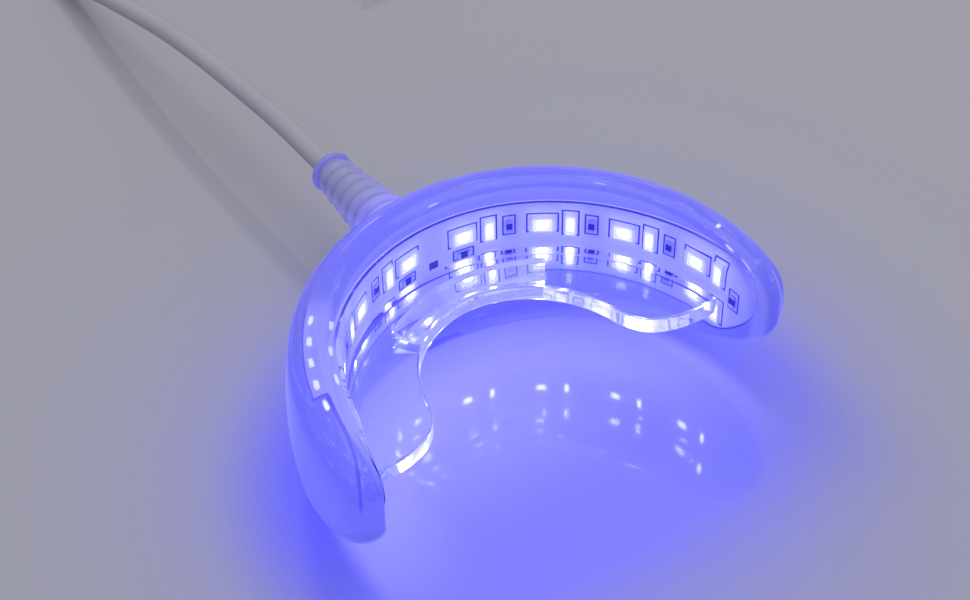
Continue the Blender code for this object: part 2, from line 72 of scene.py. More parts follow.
# Lit strip
strip_above = 0.0072
strip_below = 0.0046
strip_end_height = 0.0028
strip_reach = 0.0461
strip_round_above = 0.0031
strip_power_above = 2.2
strip_round_below = 0.0072
strip_power_below = 1.5
film_face = 0.00050
film_thickness = 0.00025
film_margin = 0.0002
film_levels = 12
edge_shade_radius = 0.00011

# Bite plate and its incisor ramps
plate_thickness = 0.0025
plate_edge_round = 0.0004
plate_front_width = 0.0080
plate_lobe_width = 0.0111
plate_lobe_middle = 0.0300
plate_reach = 0.0407
plate_widening_power = 1.5
plate_end_powers = (3.2, 2.6)
plate_root = 0.0006
plate_least_overhang = 0.0002
plate_edge_steps = 4
ramp_reach = 0.0150
ramp_back = 0.0051
ramp_rise = 0.0012
ramp_toe_inset = 0.0003
ramp_toe_sink = 0.0002

# Chips
group_count = 4
group_pitch = 0.0106
first_lying_led = 0.0043
upright_led_step = 0.0036
resistor_step = 0.0063
led_row_height = 0.0030
chip_raise = 0.0012
led_thickness = 0.0008
solder_gap = 0.00015
lying_led = (0.0035, 0.0024)
upright_led = (0.0016, 0.0034)
lying_window = (0.0024, 0.0019)
upright_window = (0.00115, 0.0028)
resistor_size = (0.0008, 0.0018)
resistor_thickness = 0.00045
resistor_cap = 0.0004
end_resistor_height = 0.0004
middle_resistor_place = 0.0044
package_corner = 0.00015
window_rim = 0.00004
window_slope = 0.00003
window_depth = 0.00012
resistor_cap_swell = 0.0001
resistor_cap_corner = 0.00008

# Strain relief
relief_length = 0.0182
relief_gap = 0.0003
relief_root_radius = 0.0062
relief_root_length = 0.0050
relief_base_radius = 0.0037
relief_tip_radius = 0.0024
relief_ribs = 6
relief_rib_height = 0.00034
relief_rib_sink = 0.00008
relief_rib_steps = 12
relief_overlap = 0.0004
relief_root_fit = 0.8
relief_steps = 72
relief_collar_radius = 0.0029
relief_collar_length = 0.0010

# Cord
cord_diameter = 0.0028
cord_seat_gap = 0.0006
cord_route = (
    (0.0000, 0.0160, 0.0133),
    (0.0000, 0.0255, 0.0133),
    (-0.0004, 0.0400, 0.0136),
    (-0.0013, 0.0640, 0.0118),
    (-0.0021, 0.0850, 0.0074),
    (-0.0026, 0.1000, 0.0031),
    (-0.0028, 0.1100, 0.00155),
    (-0.0028, 0.1340, 0.00142),
)
cord_point_step = 0.0016
coil_turn_radius = 0.0165
coil_loops = 7.5
coil_layers = 2
coil_layer_gap = 0.0006
coil_turn_gap = 0.0005
coil_lead = 0.0030
coil_exit_length = 0.0200
coil_exit_drop_share = 1.25
coil_loop_points = 48
coil_exit_points = 16
piece_gap = 0.0003

# Plug
plug_body_size = (0.0140, 0.0220, 0.0075)
plug_body_round = 0.0016
grip_grooves = 5
grip_groove_start = 0.0035
grip_groove_pitch = 0.0016
grip_groove_size = (0.0009, 0.0006, 0.00465)
plug_neck_length = 0.0060
plug_neck_radius = 0.0024
plug_neck_widening = 0.0010
plug_neck_overlap = 0.0010
plug_neck_grooves = 5
plug_neck_groove_depth = 0.00022
plug_shell_size = (0.0120, 0.0118, 0.0045)
plug_tongue_size = (0.0108, 0.0100, 0.0015)
plug_tongue_raise = 0.0008
plug_tongue_round = 0.0002
plug_shell_floor = 0.0004
plug_shell_wall = 0.0003
plug_shell_corner = 0.0007
plug_window_size = (0.0022, 0.0022, 0.0014)
plug_window_side = 0.0029
plug_window_place = 0.0058
contact_count = 4
contact_pitch = 0.0023
contact_start = 0.0009
contact_size = (0.0011, 0.0078, 0.00024)
contact_round = 0.00005

# Shares that keep the finer skins made here inside the frame's coarser solids
wall_reach_share = 0.9993
wall_bulge_share = 0.99
strip_reach_share = 0.9998
cord_share = 0.999


# Places along the arch

def arch_table():
    """Plan points and headings of the right half, with the distance along it to each."""
    turn = np.linspace(0.0, math.pi / 2, arch_samples)
    x = arch_half_width * np.sin(turn)
    y = arch_depth * (np.cos(turn) - 1)
    along = np.concatenate([[0.0], np.cumsum(np.hypot(np.diff(x), np.diff(y)))])
    heading = np.arctan2(arch_depth * np.sin(turn), arch_half_width * np.cos(turn))
    return x, y, along, heading


ARCH_X, ARCH_Y, ARCH_ALONG, ARCH_HEADING = arch_table()
FRONT_FACE = wall_front_thickness - inner_face + wall_bulge
RELIEF_END = FRONT_FACE + relief_gap + relief_length
SHIFT = (arch_depth + wall_reach - ARCH_ALONG[-1] - RELIEF_END) / 2


def arch_point(along, outward=0.0, height=0.0):
    """The point at a distance along the arch, an offset outwards and a height over the bite plane."""
    reach = abs(along)
    x = float(np.interp(reach, ARCH_ALONG, ARCH_X))
    y = float(np.interp(reach, ARCH_ALONG, ARCH_Y)) - max(reach - ARCH_ALONG[-1], 0.0)
    heading = float(np.interp(reach, ARCH_ALONG, ARCH_HEADING))
    return Vector((
        math.copysign(x + outward * math.sin(heading), along),
        y + outward * math.cos(heading) + SHIFT,
        bite_height + height,
    ))


def nearest_place(point):
    """The place on the arch of a point: along, height and outward."""
    x, y = abs(point.x), point.y - SHIFT
    if y < ARCH_Y[-1]:
        along = ARCH_ALONG[-1] + ARCH_Y[-1] - y
        outward = x - arch_half_width
    else:
        i = int(np.argmin((ARCH_X - x) ** 2 + (ARCH_Y - y) ** 2))
        along = ARCH_ALONG[i]
        outside = (x / arch_half_width) ** 2 + (1 + y / arch_depth) ** 2 - 1
        outward = math.copysign(math.hypot(ARCH_X[i] - x, ARCH_Y[i] - y), outside)
    return math.copysign(along, point.x), point.z - bite_height, outward


def keep_places(data):
    """Keeps each vertex's place on the arch on the mesh, for the finishes."""
    places = data.attributes.new("arch_place", "FLOAT_VECTOR", "POINT")
    for vert, slot in zip(data.vertices, places.data):
        slot.vector = nearest_place(vert.co)


def arch_frame(along, outward, height):
    """A matrix that lays a piece's X along the arch and its Y outwards, at a place on the arch."""
    heading = float(np.interp(abs(along), ARCH_ALONG, ARCH_HEADING))
    turn = Matrix.Rotation(-math.copysign(heading, along), 4, "Z")
    return Matrix.Translation(arch_point(along, outward, height)) @ turn


def rounded(share, power_in, power_out):
    """A superellipse's height at this share of its reach, from 1 down to 0."""
    return max(1 - min(abs(share), 1.0) ** power_in, 0.0) ** (1 / power_out)


def crowded(reach, count, power=1.5):
    """Distances from -reach to +reach that crowd towards both ends."""
    steps = np.linspace(-1.0, 1.0, count)
    return [float(reach * math.copysign(1 - (1 - abs(step)) ** power, step)) for step in steps]


# Scene helpers

def placed(name, data):
    """A new object in the scene."""
    made = bpy.data.objects.new(name, data)
    bpy.context.scene.collection.objects.link(made)
    return made


def add_piece(name, data, finish, slot, *nodes):
    """Puts a finished mesh or curve in the scene, riding on the root body in place of its CAD nodes."""
    piece = placed(name, data)
    for one in finish if isinstance(finish, tuple) else (finish,):
        data.materials.append(one)
    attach(piece, "root")
    if nodes:
        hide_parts(*nodes)
    return piece


def mesh_from(bm, name, smooth=True, sharp=0.6, normals=True):
    """A finished mesh, its faces pointing outwards."""
    if normals:
        bmesh.ops.recalc_face_normals(bm, faces=bm.faces)
    data = bpy.data.meshes.new(name)
    bm.to_mesh(data)
    bm.free()
    if smooth:
        data.shade_smooth()
        data.set_sharp_from_angle(angle=sharp)
    return data


def skin(rings):
    """A closed skin over rings of points: a grid bent round them, sewn along its seam and capped."""
    across = len(rings[0])
    bm = bmesh.new()
    bmesh.ops.create_grid(bm, x_segments=len(rings) - 1, y_segments=across, size=0.5)
    for vert in bm.verts:
        i = round((vert.co.x + 0.5) * (len(rings) - 1))
        j = round((vert.co.y + 0.5) * across) % across
        vert.co = rings[i][j]
    bmesh.ops.remove_doubles(bm, verts=bm.verts, dist=1e-7)
    open_edges = [edge for edge in bm.edges if edge.is_boundary]
    bmesh.ops.holes_fill(bm, edges=open_edges, sides=0)
    return bm


def arch_skin(stations, section):
    """A closed skin along the arch; section gives its outline of outward and height at a station."""
    return skin([[arch_point(s, *point) for point in section(s)] for s in stations])


def combined(first, others, operation):
    """A mesh with other closed ones joined to it or cut from it."""
    base = placed("base", first)
    helpers = [placed("helper", other) for other in others]
    for helper in helpers:
        step = base.modifiers.new("Combine", "BOOLEAN")
        step.operation = operation
        step.solver = "EXACT"
        step.object = helper
    bpy.context.view_layer.update()
    graph = bpy.context.evaluated_depsgraph_get()
    data = bpy.data.meshes.new_from_object(base.evaluated_get(graph), depsgraph=graph)
    for made in [base] + helpers:
        bpy.data.objects.remove(made, do_unlink=True)
    return data


def cuboid(bm, size, middle=(0.0, 0.0, 0.0)):
    """A box with its sizes along X, Y and Z; gives its corners."""
    matrix = Matrix.Translation(middle) @ Matrix.Diagonal((*size, 1.0))
    return bmesh.ops.create_cube(bm, size=1.0, matrix=matrix)["verts"]


def edges_of(verts):
    return list({edge for vert in verts for edge in vert.link_edges})


def along_y(edges):
    """Those of the edges that run along Y."""
    return [edge for edge in edges if abs((edge.verts[0].co - edge.verts[1].co).normalized().y) > 0.9]


def round_off(bm, edges, radius, segments):
    bmesh.ops.bevel(
        bm, geom=edges, offset=radius, segments=segments, profile=0.5, affect="EDGES", material=-1,
    )


def block(bm, size, matrix, radius, segments=2, chosen=list, from_back=False, index=0):
    """A box at a place, from its middle or its back, with chosen edges rounded; gives its faces."""
    before = set(bm.faces)
    verts = cuboid(bm, size, (0.0, size[1] / 2 if from_back else 0.0, 0.0))
    if radius:
        round_off(bm, chosen(edges_of(verts)), radius, segments)
    fresh = [face for face in bm.faces if face not in before]
    for face in fresh:
        face.material_index = index
    fresh_verts = list({vert for face in fresh for vert in face.verts})
    bmesh.ops.transform(bm, matrix=matrix, verts=fresh_verts)
    return fresh


def turned(profile, steps, origin=(0.0, 0.0, 0.0)):
    """A profile of (radius, place along Y) from an origin, spun about the Y axis there."""
    bm = bmesh.new()
    verts = [bm.verts.new(Vector(origin) + Vector((radius, along, 0.0))) for radius, along in profile]
    for first, second in zip(verts[:-1], verts[1:]):
        bm.edges.new((first, second))
    bmesh.ops.spin(
        bm, geom=bm.verts[:] + bm.edges[:], cent=origin, axis=(0.0, 1.0, 0.0),
        angle=2 * math.pi, steps=steps, use_merge=True,
    )
    bmesh.ops.remove_doubles(bm, verts=bm.verts, dist=1e-6)
    return bm


def tube(name, points, radius, resolution):
    """A round tube along points, as a curve; gives the curve and its spline."""
    data = bpy.data.curves.new(name, "CURVE")
    data.dimensions = "3D"
    data.bevel_depth = radius
    data.bevel_resolution = resolution
    spline = data.splines.new("POLY")
    spline.points.add(len(points) - 1)
    for slot, point in zip(spline.points, points):
        slot.co = (*point, 1.0)
    return data, spline


# Shader helpers

def operator(operation, swapped=False):
    """An operator of Value that adds a Math node."""
    def made(self, other):
        pair = (other, self) if swapped else (self, other)
        return self.finish.node("ShaderNodeMath", {"operation": operation}, dict(enumerate(pair)))
    return made


class Value:
    """A value in a finish; arithmetic on it adds Math nodes."""

    def __init__(self, finish, socket):
        self.finish = finish
        self.socket = socket

    __add__ = operator("ADD")
    __radd__ = operator("ADD", swapped=True)
    __sub__ = operator("SUBTRACT")
    __rsub__ = operator("SUBTRACT", swapped=True)
    __mul__ = operator("MULTIPLY")
    __rmul__ = operator("MULTIPLY", swapped=True)
    __truediv__ = operator("DIVIDE")
    __pow__ = operator("POWER")
    __lt__ = operator("LESS_THAN")
    __gt__ = operator("GREATER_THAN")
    at_most = operator("MINIMUM")
    at_least = operator("MAXIMUM")

    def math(self, operation, *others):
        inputs = dict(enumerate((self, *others)))
        return self.finish.node("ShaderNodeMath", {"operation": operation}, inputs)

    def __abs__(self):
        return self.math("ABSOLUTE")

    def root(self):
        return self.math("SQRT")

    def wrapped(self, high, low):
        return self.math("WRAP", high, low)

    def ramp(self, low, high):
        """A smooth step from 0 at low to 1 at high."""
        settings = {"interpolation_type": "SMOOTHSTEP"}
        inputs = {"Value": self, "From Min": low, "From Max": high}
        return self.finish.node("ShaderNodeMapRange", settings, inputs)


def most(values):
    """The largest of several values at each point."""
    first, *others = values
    for other in others:
        first = first.at_least(other)
    return first


class Finish:
    """A material built round one Principled shader."""

    def __init__(self, name, **constants):
        self.material = bpy.data.materials.new(name)
        self.material.use_nodes = True
        self.tree = self.material.node_tree
        self.shader = self.tree.nodes["Principled BSDF"]
        for socket, value in constants.items():
            self.set(socket.replace("_", " "), value)

    def set(self, socket, value):
        """Sets a socket of the shader to a constant, or links a value to it."""
        self.fill(self.shader.inputs[socket], value)

    def fill(self, target, value):
        if isinstance(value, Value):
            self.tree.links.new(value.socket, target)
        elif target.type == "RGBA" and len(value) == 3:
            target.default_value = (*value, 1.0)
        else:
            target.default_value = value

    def node(self, kind, settings=None, inputs=None, output=0):
        """Adds a node: its settings first, then the values or links of its sockets."""
        made = self.tree.nodes.new(kind)
        for name, value in (settings or {}).items():
            setattr(made, name, value)
        for key, value in (inputs or {}).items():
            self.fill(made.inputs[key], value)
        return Value(self, made.outputs[output])

    def object_place(self):
        return self.node("ShaderNodeTexCoord", output="Object")

    def attribute(self, name):
        return self.node("ShaderNodeAttribute", {"attribute_name": name}, output="Vector")

    def parts(self, vector):
        split = self.node("ShaderNodeSeparateXYZ", None, {"Vector": vector}, output="X")
        sockets = split.socket.node.outputs
        return [Value(self, sockets[axis]) for axis in "XYZ"]

    def noise(self, vector, scale, detail=2.0, roughness=0.5, stretch=None):
        if stretch is not None:
            vector = self.node("ShaderNodeMapping", None, {"Vector": vector, "Scale": stretch})
        return self.node(
            "ShaderNodeTexNoise", None,
            {"Vector": vector, "Scale": scale, "Detail": detail, "Roughness": roughness},
        )

    def mix(self, share, first, second):
        """A colour between two colours."""
        return self.node(
            "ShaderNodeMix", {"data_type": "RGBA"}, {0: share, 6: first, 7: second}, output=2
        )

    def layered(self, colour, *layers):
        """A colour with others laid over it in turn, each as (share, colour)."""
        for share, laid in layers:
            colour = self.mix(share, colour, laid)
        return colour

    def ray(self, *kinds):
        """1 for rays of any of these kinds, as named by the Light Path node."""
        path = self.node("ShaderNodeLightPath", output=kinds[0])
        return most(Value(self, path.socket.node.outputs[kind]) for kind in kinds)

    def bump(self, height, distance, strength=1.0):
        self.set("Normal", self.node(
            "ShaderNodeBump", None, {"Height": height, "Distance": distance, "Strength": strength}
        ))


# Camera, as the photograph was taken

picture_width = 970
focal_pixels = 1979.84
shift_right = -38.97
shift_up = 80.78
sensor_width = 36.0
view_azimuth = math.radians(-35.49)
view_elevation = math.radians(45.17)
view_distance = 0.23975
view_target = Vector((0.0, -0.020 + SHIFT, 0.010))


def make_camera():
    data = bpy.data.cameras.new("camera")
    data.sensor_width = sensor_width
    data.lens = focal_pixels / picture_width * sensor_width
    data.shift_x = shift_right / picture_width
    data.shift_y = shift_up / picture_width
    data.clip_start = 0.001
    camera = placed("camera", data)
    back = Vector((
        math.sin(view_azimuth) * math.cos(view_elevation),
        -math.cos(view_azimuth) * math.cos(view_elevation),
        math.sin(view_elevation),
    ))
    camera.location = view_target + back * view_distance
    camera.rotation_euler = (-back).to_track_quat("-Z", "Y").to_euler()
    bpy.context.scene.camera = camera


make_camera()


# Cord and plug

def smooth_route(points, step, samples=24):
    """Points at even steps along a smooth curve through the route's own points."""
    ends = [points[0]] + list(points) + [points[-1]]
    fine = []
    for i in range(1, len(ends) - 2):
        before, start, stop, after = ends[i - 1:i + 3]
        for k in range(samples):
            t = k / samples
            fine.append(0.5 * (
                2 * start + (stop - before) * t
                + (2 * before - 5 * start + 4 * stop - after) * t ** 2
                + (3 * start - before - 3 * stop + after) * t ** 3
            ))
    fine.append(ends[-1])
    path = np.array(fine)
    along = np.concatenate([[0.0], np.cumsum(np.linalg.norm(np.diff(path, axis=0), axis=1))])
    places = np.linspace(0.0, along[-1], int(round(along[-1] / step)) + 1)
    return [Vector([np.interp(place, along, path[:, k]) for k in range(3)]) for place in places]


def smooth_step(share):
    """From 0 to 1 with level ends."""
    share = min(max(share, 0.0), 1.0)
    return share * share * (3 - 2 * share)


def coil_route(start):
    """Loops that spiral in on the lower layer and out again on the upper, then the run to the plug."""
    pitch = cord_diameter + coil_turn_gap
    climb = cord_diameter + coil_layer_gap
    half_loops = coil_loops / coil_layers
    outer = coil_turn_radius + pitch * half_loops / 2
    centre = start + Vector((outer, coil_lead, 0.0))
    points = [start + Vector((0.0, share * coil_lead, 0.0)) for share in (1 / 4, 1 / 2, 3 / 4)]
    for i in range(int(round(coil_loops * coil_loop_points)) + 1):
        loops = i / coil_loop_points
        radius = outer - pitch * (half_loops - abs(half_loops - loops))
        raised = climb * smooth_step((loops - half_loops) * 2 + 1 / 2)
        turn = 2 * math.pi * loops
        points.append(centre + Vector((-radius * math.cos(turn), radius * math.sin(turn), raised)))
    turn = 2 * math.pi * coil_loops
    heading = Vector((math.sin(turn), math.cos(turn), 0.0)).normalized()
    last = points[-1]
    drop = last.z - plug_body_size[2] / 2
    for i in range(1, coil_exit_points + 1):
        share = i / coil_exit_points
        down = Vector((0.0, 0.0, drop * smooth_step(share * coil_exit_drop_share)))
        points.append(last + heading * coil_exit_length * share - down)
    return points, heading


def make_cable(finish):
    """The cord and its coil; gives also where it starts and ends, and how long it is."""
    shift = Vector((0.0, SHIFT, 0.0))
    exit_point = Vector((0.0, FRONT_FACE + cord_seat_gap, bite_height))
    run = smooth_route([exit_point] + [Vector(point) for point in cord_route], cord_point_step)
    loops, heading = coil_route(run[-1] + Vector((0.0, piece_gap, 0.0)))
    points = [point + shift for point in run + loops]
    data, spline = tube("cable", points, cord_diameter / 2 * cord_share, 6)
    data.twist_mode = "Z_UP"
    data.use_fill_caps = True
    spline.use_smooth = True
    cable = add_piece("cable", data, finish, "cord_jacket", "cable_run", "cable_coil")
    length = sum((b - a).length for a, b in zip(points[:-1], points[1:]))
    return cable, exit_point + shift, length, points[-1] + heading * piece_gap, heading


def plug_place(start, heading, along):
    """A matrix with its Y along the plug, at a distance from the cord's end."""
    turn = math.atan2(heading.y, heading.x) - math.pi / 2
    return Matrix.Translation(start + heading * along) @ Matrix.Rotation(turn, 4, "Z")


def make_plug_body(start, heading, finish):
    """The grip with grooves in its sides, and the ringed neck that holds the cord."""
    width, length, height = plug_body_size
    bm = bmesh.new()
    block(bm, plug_body_size, Matrix.Identity(4), plug_body_round, 5, from_back=True)
    body = mesh_from(bm, "plug_body_blank")
    grooves = []
    for i in range(grip_grooves):
        bm = bmesh.new()
        for side in (-1, 1):
            middle = (side * width / 2, grip_groove_start + i * grip_groove_pitch, 0.0)
            cuboid(bm, grip_groove_size, middle)
        grooves.append(mesh_from(bm, "grip_groove", smooth=False))
    profile = []
    for i in range(25):
        share = i / 24
        ring = (1 + math.cos(2 * math.pi * share * plug_neck_grooves)) / 2 * (1 - share) ** 0.3
        radius = plug_neck_radius + plug_neck_widening * share ** 1.6 - plug_neck_groove_depth * ring
        profile.append((radius, -plug_neck_length + share * (plug_neck_length + plug_neck_overlap)))
    ends = [(0.0, profile[0][1])], [(0.0, profile[-1][1])]
    neck = mesh_from(turned(ends[0] + profile + ends[1], 40), "plug_neck")
    data = combined(combined(body, [neck], "UNION"), grooves, "DIFFERENCE")
    data.transform(plug_place(start, heading, plug_neck_length))
    data.shade_smooth()
    data.set_sharp_from_angle(angle=0.7)
    return add_piece("plug_grip", data, finish, "plug_plastic", "plug_body")


def make_plug_sleeve(start, heading, finish):
    """The steel sleeve: a folded box, open in front, with two windows above and below."""
    width, length, height = plug_shell_size
    bm = bmesh.new()
    cuboid(bm, plug_shell_size, (0.0, length / 2, 0.0))
    round_off(bm, along_y(bm.edges), plug_shell_corner, 4)
    front = max(bm.faces, key=lambda side: side.calc_center_median().y)
    bmesh.ops.inset_region(bm, faces=[front], thickness=plug_shell_wall, use_even_offset=True)
    floor = bmesh.ops.extrude_discrete_faces(bm, faces=[front])["faces"][0]
    bmesh.ops.translate(bm, verts=floor.verts, vec=(0.0, plug_shell_floor - length, 0.0))
    sleeve = mesh_from(bm, "plug_sleeve", sharp=0.5)
    windows = []
    for side in (-1, 1):
        for level in (-1, 1):
            bm = bmesh.new()
            middle = (side * plug_window_side, plug_window_place, level * height / 2)
            cuboid(bm, plug_window_size, middle)
            windows.append(mesh_from(bm, "window", smooth=False))
    data = combined(sleeve, windows, "DIFFERENCE")
    data.transform(plug_place(start, heading, plug_neck_length + plug_body_size[1] + piece_gap))
    return add_piece("plug_sleeve", data, finish, "plug_steel", "plug_shell")


def make_plug_insert(start, heading, plastic, gold):
    """The tongue with four gilt contacts on its underside."""
    back = plug_neck_length + plug_body_size[1] + piece_gap + plug_shell_floor + piece_gap
    place = plug_place(start, heading, back)
    bm = bmesh.new()
    raised = Matrix.Translation((0.0, 0.0, plug_tongue_raise))
    block(bm, plug_tongue_size, place @ raised, plug_tongue_round, from_back=True)
    under = plug_tongue_raise - plug_tongue_size[2] / 2
    for i in range(contact_count):
        across = (i - (contact_count - 1) / 2) * contact_pitch
        at_contact = place @ Matrix.Translation((across, contact_start, under))
        block(bm, contact_size, at_contact, contact_round, 1, from_back=True, index=1)
    data = mesh_from(bm, "plug_insert")
    return add_piece("plug_insert", data, (plastic, gold), "plug_insulator", "plug_tongue")


# Mouthpiece

def wall_thickness(s):
    """The wall's thickness at a station, a distance along the arch."""
    into_wing = min(abs(s) / wall_reach, 1.0)
    return wall_front_thickness + (wall_wing_thickness - wall_front_thickness) * into_wing


def wall_section(s, rim=13, side=9):
    """The wall's outline at a station: two round rims, a flat inner face and a bulged outer one."""
    share = s / wall_reach
    above = wall_above * rounded(share, wall_top_power, wall_top_power)
    below = wall_below * rounded(share, wall_bottom_power, wall_bottom_power)
    thinner = smooth_step((abs(s) - wing_thinning_start) / (wall_reach - wing_thinning_start))
    inner = wing_thinning[s > 0] * thinner - inner_face
    outer = wall_thickness(s) - inner_face
    into_end = max(abs(s) - wall_reach + wall_end_round, 0.0) / wall_end_round
    half = (outer - inner) / 2 * rounded(into_end, wall_end_power, wall_end_power)
    middle = (outer + inner) / 2
    points = []
    for level, other, start in ((above, -below, 0.0), (-below, above, math.pi)):
        radius = min(half, abs(level))
        centre = level - math.copysign(radius, level)
        for i in range(rim):
            turn = start + math.pi * i / (rim - 1)
            points.append((middle + half * math.cos(turn), centre + radius * math.sin(turn)))
        far_centre = other - math.copysign(min(half, abs(other)), other)
        for i in range(1, side + 1):
            step = i / (side + 1)
            across = middle + half * math.cos(start + math.pi)
            points.append((across, centre + (far_centre - centre) * step))
    belly = max((above + below) / 2, 1e-6)
    waist = (above - below) / 2
    shaped = []
    for outward, height in points:
        if outward > middle:
            fullness = max(1 - ((height - waist) / belly) ** 2, 0.0)
            fullness *= wall_thickness(s) / wall_front_thickness
            bulge = wall_bulge_share * wall_bulge * fullness
            outward += bulge * (outward - middle) * 2 / (outer - inner)
        shaped.append((outward, max(height, wall_foot_flat - wall_below)))
    return shaped


def strip_heights(s, grow=0.0):
    """The lower and upper edge of the lit strip at a station."""
    ends = []
    for level, end_round, power in (
        (-strip_below, strip_round_below, strip_power_below),
        (strip_above, strip_round_above, strip_power_above),
    ):
        into = max(abs(s) - strip_reach + end_round, 0.0) / (end_round + grow)
        reach = level + math.copysign(grow, level) - strip_end_height
        ends.append(strip_end_height + reach * rounded(into, power, power))
    return ends


def plate_width(s):
    """How far the bite plate reaches inwards from the arch at a station."""
    lobe = plate_lobe_width - plate_front_width
    if abs(s) <= plate_lobe_middle:
        return plate_front_width + lobe * (abs(s) / plate_lobe_middle) ** plate_widening_power
    into_end = (abs(s) - plate_lobe_middle) / (plate_reach - plate_lobe_middle)
    return max(plate_lobe_width * rounded(into_end, *plate_end_powers), 0.0)


def make_plate():
    """The flat plate with two lobes and rounded edges, from sections across it."""
    least = inner_face - plate_least_overhang
    stations = [s for s in crowded(plate_reach, 161) if plate_width(s) > least]
    edge = [arch_point(s, -plate_width(s)) for s in stations]
    root = [arch_point(s, -plate_root) for s in stations]
    half = plate_thickness / 2
    rings = []
    for i in range(1, len(edge) - 1):
        along = (edge[i + 1] - edge[i - 1]).normalized()
        inwards = Vector((-along.y, along.x, 0.0))
        ring = [root[i] - Vector((0.0, 0.0, half))]
        for side in (-1, 1):
            for k in range(plate_edge_steps + 1):
                turn = math.pi / 2 * (k if side < 0 else plate_edge_steps - k) / plate_edge_steps
                inset = inwards * plate_edge_round * (1 - math.sin(turn))
                level = half - plate_edge_round * (1 - math.cos(turn))
                ring.append(edge[i] + inset + Vector((0.0, 0.0, side * level)))
        ring.append(root[i] + Vector((0.0, 0.0, half)))
        rings.append(ring)
    return mesh_from(skin(rings), "plate_blank")


def make_ramp():
    """The two incisor ramps as one wedge through the plate, with a step at each end."""
    top = plate_thickness / 2 + ramp_rise
    toe = plate_thickness / 2 - ramp_toe_sink

    def section(s):
        tip = plate_width(s) - ramp_toe_inset
        return [(-ramp_back, -top), (-ramp_back, top), (-tip, toe), (-tip, -toe)]

    bm = arch_skin(np.linspace(-ramp_reach, ramp_reach, 41), section)
    return mesh_from(bm, "ramp_blank")


def make_mouthpiece(finish):
    """The clear wall with the bite plate and its ramps, as one moulding."""
    stations = crowded(wall_reach * wall_reach_share, 161, 1.4)
    wall = mesh_from(arch_skin(stations, wall_section), "wall_blank")
    data = combined(wall, [combined(make_plate(), [make_ramp()], "UNION")], "UNION")
    bm = bmesh.new()
    bm.from_mesh(data)
    bmesh.ops.dissolve_degenerate(bm, edges=bm.edges, dist=2e-6)
    data = mesh_from(bm, "clear_mouthpiece", normals=False)
    keep_places(data)
    piece = add_piece("clear_mouthpiece", data, finish, "silicone", "outer_shell", "bite_tray")
    flat = piece.modifiers.new("Even shading", "WEIGHTED_NORMAL")
    flat.keep_sharp = True
    return piece


def make_edge_shade(finish):
    """The fine dark line round the edge of the lit film: painted shade where the film's edge lies in
    the clear wall.
    """
    stations = crowded((strip_reach - film_margin) * strip_reach_share, 161)
    outward = film_face - edge_shade_radius
    edges = [strip_heights(s, -film_margin) for s in stations]
    lower, upper = (
        [arch_point(s, outward, levels[end]) for s, levels in zip(stations, edges)] for end in (0, 1)
    )
    data, spline = tube("edge_shade_line", upper + lower[::-1], edge_shade_radius, 2)
    spline.use_cyclic_u = True
    return add_piece("edge_shade_line", data, finish, "liner")


# Circuit

def make_film(finish):
    """The white film, from sections across it."""
    stations = crowded((strip_reach - film_margin) * strip_reach_share, 201)
    back = film_face + film_thickness

    def section(s):
        low, high = strip_heights(s, -film_margin)
        levels = [low + (high - low) * i / film_levels for i in range(film_levels + 1)]
        return [(film_face, level) for level in levels] + [(back, level) for level in reversed(levels)]

    data = mesh_from(arch_skin(stations, section), "circuit_film", sharp=0.5)
    keep_places(data)
    return add_piece("circuit_film", data, finish, "circuit_film", "flex_circuit")


def chip_places():
    """Every LED and every resistor as (along, height, lying or not)."""
    leds = []
    resistors = []
    for side in (-1, 1):
        for group in range(group_count):
            start = first_lying_led + group * group_pitch
            for row in (led_row_height, -led_row_height):
                leds.append((side * start, row + chip_raise, True))
                leds.append((side * (start + upright_led_step), row + chip_raise, False))
            last = group == group_count - 1
            for height in (end_resistor_height,) if last else (led_row_height, -led_row_height):
                resistors.append((side * (start + resistor_step), height + chip_raise, False))
        resistors.append((side * middle_resistor_place, chip_raise, True))
    return leds, resistors


def make_leds(frame_finish, window_finish):
    """All the LEDs: a white package with a lit window sunk in its face."""
    leds = chip_places()[0]
    outward = film_face - solder_gap - led_thickness / 2
    bm = bmesh.new()
    glow = bm.verts.layers.float_vector.new("window_place")
    for along, height_over, lying in leds:
        length, height = lying_led if lying else upright_led
        window = lying_window if lying else upright_window
        before = set(bm.verts)
        package = (length, led_thickness, height)
        fresh = block(bm, package, Matrix.Identity(4), package_corner, chosen=along_y)
        lit = min(fresh, key=lambda face: face.calc_center_median().y)
        bmesh.ops.inset_region(bm, faces=[lit], thickness=window_rim)
        for vert in lit.verts:
            vert.co.x *= window[0] / (length - 2 * window_rim)
            vert.co.z *= window[1] / (height - 2 * window_rim)
        bmesh.ops.inset_region(bm, faces=[lit], thickness=window_slope)
        for vert in lit.verts:
            vert.co.y += window_depth
        lit.material_index = 1
        fresh_verts = [vert for vert in bm.verts if vert not in before]
        for vert in fresh_verts:
            vert[glow] = (2 * vert.co.x / window[0], 2 * vert.co.z / window[1], along)
        bmesh.ops.transform(bm, matrix=arch_frame(along, outward, height_over), verts=fresh_verts)
    data = mesh_from(bm, "led_array", sharp=0.5)
    names = [f"led_{i + 1:02d}" for i in range(len(leds))]
    return add_piece("led_array", data, (frame_finish, window_finish), "led", *names)


